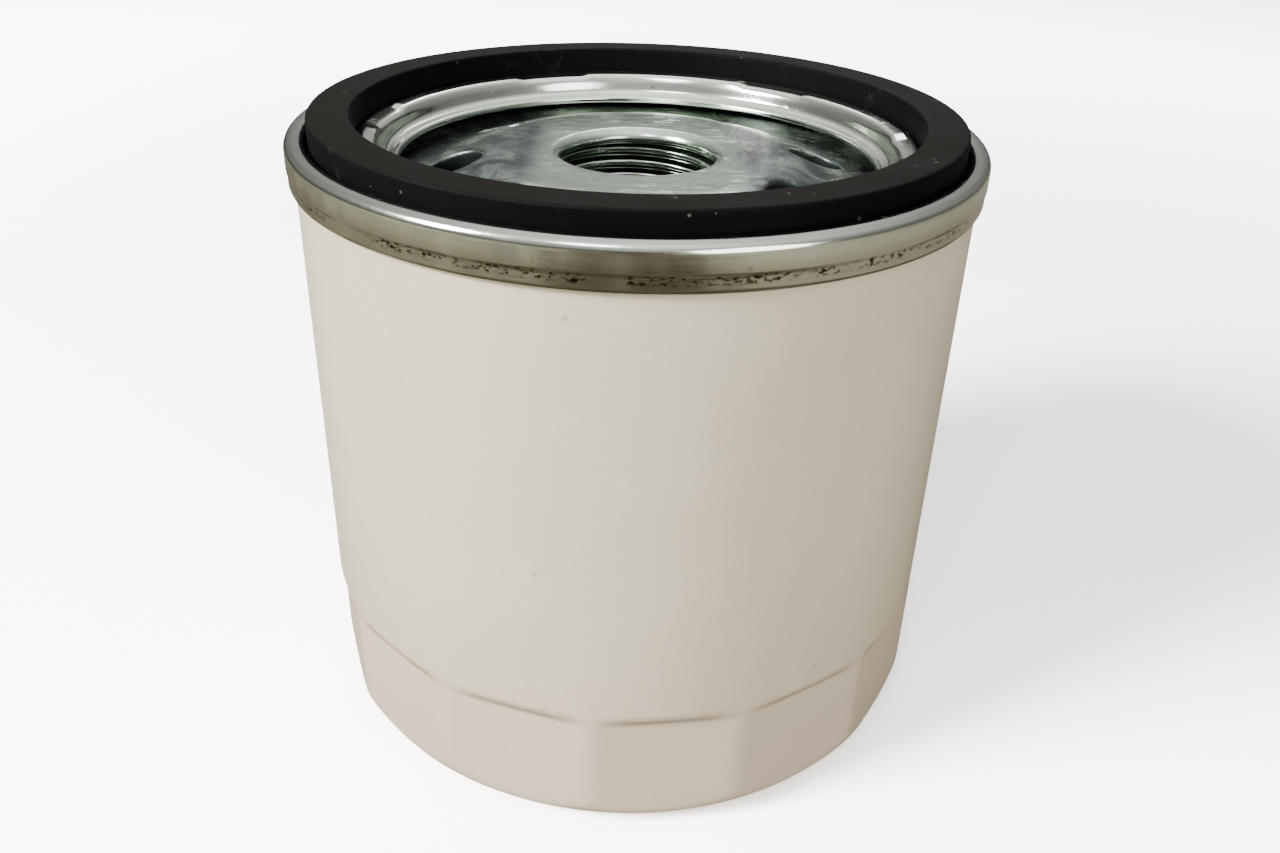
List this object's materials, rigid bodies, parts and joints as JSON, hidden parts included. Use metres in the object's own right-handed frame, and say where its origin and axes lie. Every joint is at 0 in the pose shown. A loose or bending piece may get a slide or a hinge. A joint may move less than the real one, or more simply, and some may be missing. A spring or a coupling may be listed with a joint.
{
  "type": "spin-on oil filter",
  "caption": "Spin-on engine oil filter: painted can with a fluted closed end, seamed zinc lid, tapped plate, face gasket, and a sprung pleated element with valves inside.",
  "frame": {"origin": "centre of the closed end's flat ring, on the filter's axis, where the filter stands with its gasket up", "axes": "+Z along the filter's axis from the closed end to the gasket; +X and +Y across it"},
  "size_m": [0.077, 0.077, 0.0725],
  "materials": {
    "can_paint": "satin off-white enamel, faintly scuffed",
    "zinc_plate": "thin zinc-plated pressed steel",
    "zinc_plate_thick": "thick zinc-plated steel, tapped",
    "nitrile_rubber": "matt black nitrile, dusty",
    "seam_compound": "set sealing compound",
    "valve_rubber": "smooth black rubber diaphragm",
    "tinplate": "tinplate",
    "resin_paper": "resin-treated pleated filter paper",
    "clip_steel": "bright steel strip",
    "tube_steel": "plain perforated steel",
    "plastisol": "cured end-cap adhesive",
    "spring_steel": "oiled spring steel",
    "valve_steel": "pressed steel",
    "valve_nylon": "natural glass-filled nylon"
  },
  "bodies": {
    "housing": {"can": "can_paint", "seaming_lid": "zinc_plate", "base_plate": "zinc_plate_thick", "sealing_gasket": "nitrile_rubber", "seam_sealant": "seam_compound", "support_spring": "spring_steel"},
    "drain_valve": {"anti_drain_valve": "valve_rubber"},
    "element": {"top_end_cap": "tinplate", "bottom_end_cap": "tinplate", "spring_seat": "tinplate", "filter_media": "resin_paper", "media_clip": "clip_steel", "centre_tube": "tube_steel", "top_adhesive": "plastisol", "bottom_adhesive": "plastisol", "bypass_spring": "spring_steel", "bypass_seat": "valve_steel", "bypass_cage": "valve_steel"},
    "bypass_valve": {"bypass_poppet": "valve_nylon", "bypass_seal": "valve_rubber"}
  },
  "joints": [
    {"name": "drain_valve_lift", "type": "slide", "parent": "housing", "child": "drain_valve", "axis": [0, 0, 1], "range_m": [-0.0008, 0], "stiffness_N_per_m": 150, "springref_m": 0.002},
    {"name": "element_float", "type": "slide", "parent": "housing", "child": "element", "axis": [0, 0, 1], "range_m": [-0.0015, 0], "stiffness_N_per_m": 3000, "springref_m": 0.006, "deforming": ["support_spring"]},
    {"name": "bypass_opening", "type": "slide", "parent": "element", "child": "bypass_valve", "axis": [0, 0, 1], "range_m": [0, 0.003], "stiffness_N_per_m": 300, "springref_m": -0.004, "deforming": ["bypass_spring"]}
  ]
}
